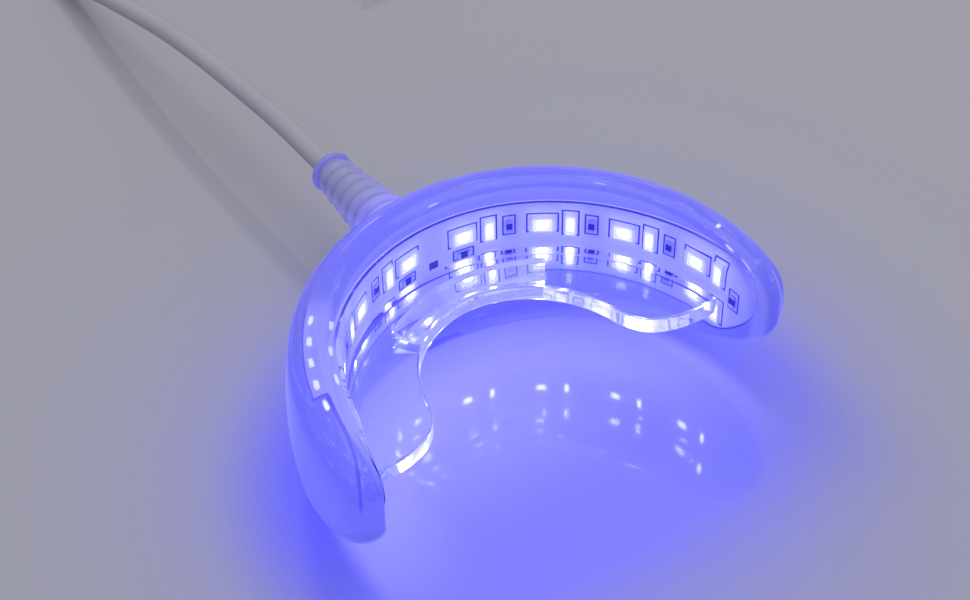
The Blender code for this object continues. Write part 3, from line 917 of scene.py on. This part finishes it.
def make_resistors(body_finish, cap_finish):
    """All the resistors: a glazed body with a tinned cap at each end."""
    resistors = chip_places()[1]
    width, length = resistor_size
    cap_size = (width + resistor_cap_swell, resistor_thickness + resistor_cap_swell, resistor_cap)
    outward = film_face - solder_gap - resistor_thickness / 2
    bm = bmesh.new()
    for along, height, lying in resistors:
        turn = Matrix.Rotation(math.pi / 2, 4, "Y") if lying else Matrix.Identity(4)
        place = arch_frame(along, outward, height) @ turn
        block(bm, (width, resistor_thickness, length - 2 * resistor_cap), place, 0.0)
        for end in (-1, 1):
            at_end = place @ Matrix.Translation((0.0, 0.0, end * (length - resistor_cap) / 2))
            block(bm, cap_size, at_end, resistor_cap_corner, chosen=along_y, index=1)
    data = mesh_from(bm, "resistor_array", sharp=0.5)
    names = [f"resistor_{i + 1:02d}" for i in range(len(resistors))]
    return add_piece("resistor_array", data, (body_finish, cap_finish), "resistor", *names)


# Strain relief

def make_relief(finish):
    """The ribbed sleeve, its flared root laid against the bulged wall, with a rolled collar."""
    start = FRONT_FACE - relief_overlap
    root_end = FRONT_FACE + relief_root_length
    collar_start = RELIEF_END - relief_collar_length
    profile = [(0.0, start), (relief_root_radius, start)]
    for i in range(13):
        share = i / 12
        flare = (1 - math.sin(share * math.pi / 2)) * (relief_root_radius - relief_base_radius)
        profile.append((relief_base_radius + flare, FRONT_FACE + share * relief_root_length))
    for i in range(1, relief_ribs * relief_rib_steps):
        share = i / (relief_ribs * relief_rib_steps)
        sleeve = relief_base_radius + (relief_tip_radius - relief_base_radius) * share
        wave = math.cos((share * relief_ribs - 0.5) * 2 * math.pi)
        rib = relief_rib_height * max(wave, -0.2) * (0.6 + 0.4 * wave) - relief_rib_sink
        profile.append((sleeve + rib, root_end + share * (collar_start - root_end)))
    profile.append((relief_tip_radius, collar_start))
    for i in range(9):
        turn = math.pi * i / 8
        profile.append((
            relief_tip_radius + (relief_collar_radius - relief_tip_radius) * math.sin(turn),
            collar_start + relief_collar_length * (1 - math.cos(turn)) / 2,
        ))
    profile.append((0.0, RELIEF_END))
    bm = turned(profile, relief_steps, (0.0, SHIFT, bite_height))
    waist = bite_height + (wall_above - wall_below) / 2
    belly = (wall_above + wall_below) / 2
    for vert in bm.verts:
        from_root = vert.co.y - SHIFT - start
        near = 1 - smooth_step(from_root / (relief_root_length * relief_root_fit))
        bulged = wall_bulge * ((vert.co.z - waist) / belly) ** 2
        vert.co.y -= near * (vert.co.x ** 2 / (2 * wall_front_radius) + bulged)
    data = mesh_from(bm, "relief_sleeve", sharp=0.9)
    return add_piece("relief_sleeve", data, finish, "relief", "strain_relief")


# Finishes

# Rows of painted light spots, the LEDs seen through the left wing's top: first spot, half the pitch,
# place outwards, half a spot's length and width, and strength
wing_spot_rows = (
    (0.0240, 0.00155, 0.0021, 0.0009, 0.00042, 0.80),
    (0.0243, 0.00210, -0.0003, 0.0010, 0.00034, 0.65),
)
wing_step = 0.0349

# Glints on the top: place along and outwards, half the length and width, and strength
top_glints = (
    (0.0376, 0.0011, 0.00035, 0.00045, 0.90),
    (0.0405, 0.0000, 0.00080, 0.00016, 0.60),
    (0.0436, 0.0003, 0.00140, 0.00014, 0.35),
    (0.0006, -0.0001, 0.00110, 0.00012, 0.35),
    (-0.0070, 0.0022, 0.00220, 0.00013, 0.30),
    (0.0220, 0.0002, 0.00110, 0.00011, 0.25),
)


def silicone_finish():
    """Clear silicone, the LEDs' light in it painted as a blue glow: clearest on its inner face and on
    the plate.
    """
    finish = Finish(
        "clear_silicone", Base_Color=(0.80, 0.82, 1.0), Roughness=0.04, IOR=1.41,
        Transmission_Weight=1.0, Emission_Strength=1.0,
    )
    place = finish.object_place()
    on_arch = finish.attribute("arch_place")
    along, height, outward = finish.parts(on_arch)
    reach = abs(along)
    normal = finish.node("ShaderNodeNewGeometry", output="Normal")
    facing_up = finish.parts(normal)[2]
    cloud = finish.noise(place, 90.0, 3.0, 0.5, (1.0, 1.0, 0.4))
    streaks = finish.noise(on_arch, 700.0, 3.0, 0.6, (0.10, 1.0, 1.0))
    fine = finish.noise(on_arch, 1700.0, 3.0, 0.6, (0.07, 1.0, 1.0))
    left = along < 0.0
    uneven = finish.noise(place, 1100.0, 2.0) - 0.5

    def line(value, centre, half):
        return 1 - abs(value - centre).ramp(half * 0.4, half)

    def spot(across, up, half_across, half_up):
        away = (abs(across / half_across) ** 3.0 + abs(up / half_up) ** 3.0) ** (1 / 3)
        return 1 - (away + 0.9 * uneven).ramp(0.45, 1.0)

    # Top of the left wing: painted light where the film and its LEDs show through it, and painted shade
    # along its edges
    top = facing_up.ramp(0.35, 0.75) * height.ramp(0.0045, 0.0060)
    film_back = outward.ramp(-0.0002, 0.0002) * (1 - outward.ramp(0.0028, 0.0030))
    film_back = film_back * reach.ramp(0.0190, 0.0240) * (1 - reach.ramp(0.0347, 0.0350))
    inner_band = outward.ramp(-0.0014, -0.0008) * (1 - outward.ramp(0.0010, 0.0014))
    inner_band = inner_band * reach.ramp(0.0200, 0.0300) * (1 - 0.7 * reach.ramp(0.0400, 0.0455))
    pale = film_back.at_least(inner_band) * top * left * (0.80 + 0.45 * streaks)
    spots = most(
        strength * spot((reach - first).wrapped(half_pitch, -half_pitch), outward - level, *halves)
        for first, half_pitch, level, *halves, strength in wing_spot_rows
    )
    spots = spots * reach.ramp(0.0220, 0.0230) * (1 - reach.ramp(0.0341, 0.0346))
    end_spot = spot(reach - 0.0362, outward - 0.0019, 0.0009, 0.00035)
    spots = spots.at_least(end_spot) * top * left
    # Painted shade: dark lines along the wing's edges, a dark corner where the film ends and a dark
    # patch at the wing's end
    bend = 0.0013 + ((reach - 0.0385).at_least(0.0) / 0.0080) ** 2.0 * 0.0024
    edge_line = line(outward, bend, 0.00034) * reach.ramp(wing_step, wing_step + 0.0003)
    edge_line = edge_line * (1 - reach.ramp(0.0466, 0.0472))
    far_line = line(outward, 0.0029, 0.00016) * reach.ramp(0.0200, 0.0230) * (reach < wing_step)
    corner = line(reach, wing_step, 0.00020) * (outward > 0.0012) * (outward < 0.0030)
    end_patch = spot(reach - 0.0464, outward - 0.0022, 0.0008, 0.0014) * 0.5
    dark = most([edge_line, far_line * 0.8, corner, end_patch])
    dark = dark * facing_up.ramp(0.05, 0.3) * left * (height > 0.0)
    # Painted glints on the top, and a painted highlight along the inner rim
    glint = top * most(
        strength * spot(along - centre, outward - level, *halves)
        for centre, level, *halves, strength in top_glints
    )
    rim_light = line(outward, -0.0009, 0.00035) * top * (0.25 + 0.75 * streaks)
    # Painted shade on the outer rim, painted bands of light and shade at the right wing's end, and a
    # painted band of light from behind on the outer face
    outer_rim = outward.ramp(0.0026, 0.0040) * facing_up.ramp(0.1, 0.5)
    right_end = reach.ramp(0.0440, 0.0462) * (along > 0.0)
    from_behind = outward.ramp(0.0030, 0.0038) * (1 - abs(height - 0.0015).ramp(0.0030, 0.0085))
    from_behind = from_behind * (1 - reach.ramp(0.0260, 0.0360)) * (1 - facing_up.ramp(0.0, 0.3))

    # How much of the milky wall, which carries the painted glow, shows over the clear part
    clear_face = 1 - outward.ramp(-0.0012, -0.0002)
    milky_glow = (1 - clear_face) * (0.62 + 0.45 * cloud)
    rim = abs(height).ramp(0.0085, 0.0115) * 0.35
    share = (milky_glow + rim * clear_face).at_least(0.03).at_most(0.95)
    share = share.at_least(most([pale, spots, dark, glint, rim_light * 0.6]) * 0.9)

    # Painted light and shade in the milky wall: its blue glow, lit and dark bands, highlight streaks
    # and glints
    wall_light_and_shade = finish.layered(
        finish.mix(cloud, (0.066, 0.068, 0.54), (0.128, 0.133, 0.77)),
        (from_behind * 0.55, (0.24, 0.25, 0.98)),
        (line(outward, 0.0001, 0.0009) * right_end * 0.45, (0.22, 0.22, 0.78)),
        (line(outward, 0.0018, 0.0010) * right_end * 0.40, (0.044, 0.046, 0.66)),
        (line(outward, 0.0031, 0.00022) * right_end * 0.60, (0.26, 0.27, 0.98)),
        (outer_rim * 0.45, (0.035, 0.037, 0.52)),
        # Painted highlight streaks along the top
        (streaks.ramp(0.52, 0.75) * top * 0.22, (0.26, 0.27, 0.98)),
        (fine.ramp(0.56, 0.68) * top * 0.38, (0.30, 0.32, 0.98)),
        (rim_light, (0.26, 0.28, 0.96)),
        (pale * 0.9, (0.24, 0.255, 0.98)),
        (spots.at_least(glint), (0.90, 0.95, 1.0)),
        (dark * 0.95, (0.018, 0.018, 0.66)),
    )

    # Painted glow in the clear part, brightest in painted runs of light along the plate's edge
    in_plate = (outward < -0.0024) * (abs(height) < 0.0030)
    edges = in_plate * (1 - abs(facing_up).ramp(0.30, 0.70))
    bright_runs = most([
        spot(along - 0.0165, outward + 0.0090, 0.0022, 0.0040),
        spot(along - 0.0265, outward + 0.0100, 0.0045, 0.0040),
        0.6 * reach.ramp(0.0320, 0.0370),
    ])
    grain = finish.noise(on_arch, 500.0, 2.0, 0.5, (1.0, 3.0, 3.0))
    in_runs = bright_runs * (0.02 + 0.45 * grain)
    edge_light = edges * (outward < -0.0056) * (0.10 + 0.25 * grain + in_runs)
    clear_glow = finish.layered(
        finish.mix(share, (0.012, 0.012, 0.10), (0.03, 0.03, 0.20)),
        (in_plate, (0.032, 0.034, 0.20)),
        (edge_light.at_most(1.0), (0.75, 0.80, 1.0)),
    )

    # The clear shader, and the milky one mixed over it
    # For bounced rays both shaders glow blue: painted light that the wall throws onto the table, as if
    # it were a lamp
    bounced = finish.ray("Is Diffuse Ray")
    finish.set("Emission Color", finish.mix(bounced, clear_glow, (0.0, 0.0, 0.3)))
    wave = finish.noise(place, 160.0, 2.0, 0.5)
    finish.bump(wave + 0.6 * (streaks + 0.5 * fine) * (1 - clear_face), 0.00012, 0.5)
    alpha = 1 - 0.5 * finish.ray("Is Shadow Ray", "Is Diffuse Ray")
    finish.set("Alpha", alpha)
    body = finish.tree.nodes.new("ShaderNodeBsdfPrincipled")
    for socket, value in {
        "Base Color": (0.07, 0.07, 0.14), "Roughness": 0.16, "IOR": 1.41, "Specular IOR Level": 0.3,
        "Emission Strength": 1.0, "Emission Color": finish.mix(bounced, wall_light_and_shade, (0.0, 0.0, 3.0)),
        "Alpha": alpha, "Normal": Value(finish, finish.shader.inputs["Normal"].links[0].from_socket),
    }.items():
        finish.fill(body.inputs[socket], value)
    mixed = finish.tree.nodes.new("ShaderNodeMixShader")
    finish.fill(mixed.inputs[0], share)
    finish.tree.links.new(finish.shader.outputs[0], mixed.inputs[1])
    finish.tree.links.new(body.outputs[0], mixed.inputs[2])
    finish.tree.links.new(mixed.outputs[0], finish.tree.nodes["Material Output"].inputs["Surface"])
    return finish.material


def edge_shade_finish():
    """Painted shade in the dark line round the film's edge, with a faint painted blue glow."""
    finish = Finish("seam_shadow", Roughness=0.4, Emission_Strength=1.0)
    place = finish.object_place()
    cloud = finish.noise(place, 300.0, 2.0)
    finish.set("Base Color", finish.mix(cloud, (0.006, 0.006, 0.07), (0.022, 0.018, 0.16)))
    finish.set("Emission Color", finish.mix(cloud, (0.008, 0.006, 0.12), (0.024, 0.020, 0.26)))
    return finish.material


# Printed boxes round the chips, as length along the arch and height
lying_box = (0.0040, 0.0029)
upright_box = (0.0021, 0.0039)
resistor_box = (0.0016, 0.0030)
middle_box = (0.0028, 0.0014)
box_line_half = 0.00011
boxes_start = 0.0019


def film_finish():
    """White film with the LEDs' light painted on it as a glow, and a box in print round each chip."""
    finish = Finish("white_circuit_film", Roughness=0.45, Emission_Strength=1.0)
    along, height, outward = finish.parts(finish.attribute("arch_place"))
    reach = abs(along)
    folded = (reach - first_lying_led).wrapped(group_pitch - 0.0030, -0.0030)
    height = height - chip_raise
    row = abs(height) - led_row_height
    last_lying = first_lying_led + (group_count - 1) * group_pitch
    last_upright = last_lying + upright_led_step
    from_upright = folded - upright_led_step

    def box_line(across, up, size):
        edge = (abs(across) - size[0] / 2).at_least(abs(up) - size[1] / 2)
        return abs(edge) < box_line_half

    def box_glow(across, up, size, spread):
        dx = (abs(across) - size[0] / 2).at_least(0.0)
        dy = (abs(up) - size[1] / 2).at_least(0.0)
        return 1 - (dx * dx + dy * dy).root().ramp(0.0, spread)

    on_leds = box_line(folded, row, lying_box).at_least(box_line(from_upright, row, upright_box))
    on_leds = on_leds * ((reach > boxes_start) * (reach < last_upright + 0.0012))
    between = box_line(folded - resistor_step, row, resistor_box)
    between = between * (reach > boxes_start) * (reach < last_lying - 0.0018)
    from_end = reach - last_lying - resistor_step
    at_end = box_line(from_end, height - end_resistor_height, resistor_box)
    at_middle = box_line(reach - middle_resistor_place, height, middle_box)
    pad = (reach < 0.0007) * (abs(height) < 0.0006)
    front = outward < film_face + film_thickness / 2
    dark = most([on_leds, between, at_end, at_middle, pad]) * front
    # Painted glow round each LED on the film
    halo = box_glow(folded, row, (0.0020, 0.0016), 0.0026) * (reach > 0.0005)
    halo = halo.at_least(box_glow(from_upright, row, (0.0009, 0.0024), 0.0024))
    halo = halo * (reach < last_upright + 0.0028)
    cloud = finish.noise(finish.object_place(), 350.0, 2.0)
    base = finish.mix(cloud, (0.62, 0.62, 0.86), (0.74, 0.74, 0.94))
    finish.set("Base Color", finish.mix(dark, base, (0.02, 0.02, 0.08)))
    lit = finish.mix(halo, (0.05, 0.05, 0.45), (0.20, 0.20, 0.90))
    glow_with_print = finish.mix(front, (0.05, 0.05, 0.55), finish.mix(dark, lit, (0.004, 0.004, 0.05)))
    # For unseen rays the film glows blue: painted light that it gives off in place of its LEDs
    unseen = 1 - finish.ray("Is Camera Ray", "Is Glossy Ray", "Is Transmission Ray")
    glow = finish.mix(front, (0.0, 0.0, 4.5), (0.0, 0.0, 5.0))
    finish.set("Emission Color", finish.mix(unseen, glow_with_print, glow))
    finish.bump(dark, 0.00002, 0.4)
    return finish.material


def window_distance(finish):
    """How far a point lies from the middle of its LED's window: 1 at the window's rim, uneven."""
    across, up = finish.parts(finish.attribute("window_place"))[:2]
    uneven = finish.noise(finish.object_place(), 900.0, 2.0) - 0.5
    return (abs(across) ** 4.0 + abs(up) ** 4.0) ** 0.25 + 0.35 * uneven


def led_frame_finish():
    """The white package, with a painted glow near its window."""
    finish = Finish("led_package", Roughness=0.35, Emission_Strength=1.0)
    cloud = finish.noise(finish.object_place(), 900.0, 2.0)
    # Painted glow, brightest next to the window
    near = 1 - window_distance(finish).ramp(0.9, 1.7)
    finish.set("Base Color", finish.mix(cloud, (0.70, 0.70, 0.90), (0.85, 0.85, 1.0)))
    finish.set("Emission Color", finish.mix(near, (0.05, 0.05, 0.45), (0.34, 0.36, 0.90)))
    return finish.material


def led_window_finish():
    """A lit window, whitest in the middle and fading into blue at its rim."""
    finish = Finish("led_window", Base_Color=(0.8, 0.8, 1.0), Roughness=0.2, Emission_Strength=40.0)
    away = window_distance(finish)
    dim = (0.012, 0.0125, 0.03)
    look = finish.mix(1 - away.ramp(0.66, 1.02), dim, (0.5, 0.52, 1.0))
    mirrored = finish.mix(1 - away.ramp(0.20, 0.80), dim, (0.4, 0.42, 0.8))
    look = finish.mix(finish.ray("Is Glossy Ray"), look, mirrored)
    seen = finish.ray("Is Camera Ray", "Is Glossy Ray", "Is Transmission Ray")
    finish.set("Emission Color", finish.mix(seen, (0.25, 0.26, 5.0), look))
    return finish.material


def grained_finish(name, grain, shades, roughness=None, relief=None, **constants):
    """Two shades in one grain, which can also roughen the face and give it relief."""
    finish = Finish(name, **constants)
    cloud = finish.noise(finish.object_place(), *grain)
    finish.set("Base Color", finish.mix(cloud, *shades))
    if roughness:
        finish.set("Roughness", roughness[0] + roughness[1] * cloud)
    if relief:
        finish.bump(cloud, relief, 0.4)
    return finish.material


def relief_finish():
    """Cloudy silicone, with a painted blue glow near the wall and at the collar, and painted shade in
    its grooves.
    """
    finish = Finish("relief_silicone", IOR=1.41, Transmission_Weight=0.65, Emission_Strength=0.35)
    place = finish.object_place()
    along = finish.parts(place)[1] - SHIFT
    cloud = finish.noise(place, 300.0, 3.0)
    root_end = FRONT_FACE + relief_root_length
    room = RELIEF_END - relief_collar_length - root_end
    # Painted blue glow near the wall and at the collar, and painted shade in the grooves
    near = 1 - along.ramp(FRONT_FACE, FRONT_FACE + 0.011)
    tip = along.ramp(RELIEF_END - 0.0013, RELIEF_END - 0.0009)
    ring = ((along - root_end) * (relief_ribs / room)).wrapped(0.5, -0.5)
    groove_shade = (1 - abs(ring).ramp(0.02, 0.24)) * (1 - tip) * (along > root_end - 0.0006)
    finish.set("Base Color", finish.layered(
        finish.mix(cloud, (0.54, 0.54, 0.68), (0.68, 0.68, 0.84)),
        (tip * 0.6, (0.32, 0.32, 0.62)), (groove_shade * 0.45, (0.24, 0.24, 0.56)),
    ))
    finish.set("Emission Color", finish.layered(
        finish.mix(near * 0.9, (0.05, 0.05, 0.24), (0.16, 0.16, 2.0)),
        (groove_shade * 0.6, (0.02, 0.02, 0.40)), (tip * 0.7, (0.06, 0.06, 0.62)),
    ))
    finish.set("Roughness", 0.22 + 0.2 * cloud)
    finish.bump(cloud, 0.00008, 0.5)
    return finish.material


def plastic_finish(name, low, high, roughness, broad_scale=120.0, grain=(5200.0, 2.0)):
    """Plastic between two shades, with a fine grain; roughness is its least and what grain adds."""
    finish = Finish(name)
    place = finish.object_place()
    broad = finish.noise(place, broad_scale, 2.0)
    fine = finish.noise(place, *grain)
    finish.set("Base Color", finish.mix(broad, low, high))
    finish.set("Roughness", roughness[0] + roughness[1] * fine)
    finish.bump(fine, 0.00002, 0.5)
    return finish.material


# Middle of the pool of blue light painted on the table
glow_middle = (0.004, -0.028)


def floor_finish():
    """A plain pale table, with the mouthpiece's blue light painted onto it nearby, and a painted glow
    at the wall's foot.
    """
    finish = Finish("glossy_table", IOR=1.5, Emission_Strength=1.0)
    place = finish.object_place()
    x, y = finish.parts(place)[:2]
    cloud = finish.noise(place, 6.0, 2.0)
    grain = finish.noise(place, 900.0, 2.0)
    front = (y - SHIFT + arch_depth).at_least(0.0) / arch_depth
    outward = (((x / arch_half_width) ** 2.0 + front ** 2.0).root() - 1) * arch_half_width
    before = ((x - glow_middle[0]) ** 2.0 + (y - glow_middle[1]) ** 2.0).root()
    # Painted light: a pool of the mouthpiece's blue round it, none inside the arch, and a glow by the
    # wall's foot
    inside = (1 - outward.ramp(-0.008, 0.000)) * y.ramp(-0.030, -0.004)
    painted_foot_light = outward.ramp(-0.014, 0.000) * (1 - outward.ramp(0.000, 0.003)) * y.ramp(-0.036, -0.014)
    round_wall = (1 - outward.ramp(0.003, 0.018)) * y.ramp(-0.056, -0.022)
    painted_blue_light = 0.42 * (1 - before.ramp(0.008, 0.062)) + 0.78 * round_wall
    painted_blue_light = painted_blue_light.at_most(0.85) * (1 - inside)
    pale = finish.mix(cloud, (0.346, 0.346, 0.388), (0.356, 0.356, 0.398))
    finish.set("Base Color", finish.mix(painted_blue_light, pale, (0.20, 0.20, 0.62)))
    finish.set("Emission Color", finish.mix(painted_foot_light, (0.0, 0.0, 0.0), (0.15, 0.15, 0.20)))
    finish.set("Roughness", 0.04 + 0.02 * grain)
    return finish.material


# Stage

table_half_size = 1.5
studio_colour = (0.97, 0.97, 1.0, 1.0)
studio_strength = 0.64
lamp_size = 0.8
lamp_power = 3.4
lamp_direction = (0.18, 0.0, 0.98)


def make_floor():
    """The table, wide enough to fill the picture."""
    bm = bmesh.new()
    bmesh.ops.create_grid(bm, x_segments=8, y_segments=8, size=table_half_size)
    data = mesh_from(bm, "table", smooth=False, normals=False)
    data.materials.append(floor_finish())
    placed("table", data)


def make_lights():
    """An even studio and one broad round lamp overhead."""
    world = bpy.data.worlds.new("studio")
    bpy.context.scene.world = world
    world.use_nodes = True
    background = world.node_tree.nodes["Background"]
    background.inputs["Color"].default_value = studio_colour
    background.inputs["Strength"].default_value = studio_strength
    key = bpy.data.lights.new("key", "AREA")
    key.shape = "DISK"
    key.size = lamp_size
    key.energy = lamp_power
    lamp = placed("key", key)
    away = Vector(lamp_direction).normalized()
    lamp.location = away
    lamp.rotation_euler = away.to_track_quat("Z", "Y").to_euler()


def main():
    jacket = plastic_finish(
        "cord_jacket", (0.32, 0.31, 0.37), (0.38, 0.37, 0.42), (0.36, 0.14), 60.0, (2600.0, 3.0)
    )
    plastic = plastic_finish("plug_plastic", (0.62, 0.62, 0.66), (0.70, 0.70, 0.74), (0.36, 0.12))
    insulator = plastic_finish("plug_insulator", (0.74, 0.74, 0.74), (0.82, 0.82, 0.82), (0.40, 0.12))
    nickel = grained_finish(
        "nickel_plate", (900.0, 3.0, 0.6, (1.0, 0.05, 1.0)), ((0.58, 0.58, 0.60), (0.78, 0.78, 0.80)),
        roughness=(0.18, 0.2), relief=0.00001, Metallic=1.0,
    )
    gold = grained_finish(
        "gold_contact", (1600.0, 3.0), ((0.72, 0.48, 0.16), (0.92, 0.68, 0.30)),
        roughness=(0.2, 0.2), Metallic=1.0,
    )
    glaze = grained_finish(
        "resistor_glaze", (1200.0, 2.0), ((0.004, 0.004, 0.09), (0.012, 0.012, 0.18)),
        relief=0.00001, Roughness=0.3, Specular_IOR_Level=0.2,
    )
    tin = grained_finish(
        "tinned_cap", (1500.0, 3.0), ((0.45, 0.45, 0.72), (0.70, 0.70, 0.95)),
        roughness=(0.25, 0.25), Metallic=1.0,
    )
    cable, exit_point, length, plug_start, heading = make_cable(jacket)
    plug = [
        make_plug_body(plug_start, heading, plastic),
        make_plug_sleeve(plug_start, heading, nickel),
        make_plug_insert(plug_start, heading, insulator, gold),
    ]
    make_mouthpiece(silicone_finish())
    make_edge_shade(edge_shade_finish())
    make_film(film_finish())
    make_leds(led_frame_finish(), led_window_finish())
    make_resistors(glaze, tin)
    make_relief(relief_finish())
    wires = {
        "wire_positive": plastic_finish(
            "wire_red", (0.40, 0.02, 0.03), (0.55, 0.04, 0.05), (0.35, 0.12)
        ),
        "wire_negative": plastic_finish(
            "wire_black", (0.01, 0.01, 0.01), (0.03, 0.03, 0.03), (0.35, 0.12)
        ),
    }
    for name, finish in wires.items():
        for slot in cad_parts[name].material_slots:
            slot.material = finish
    make_floor()
    make_lights()
    bpy.context.scene.view_settings.view_transform = "Standard"


main()
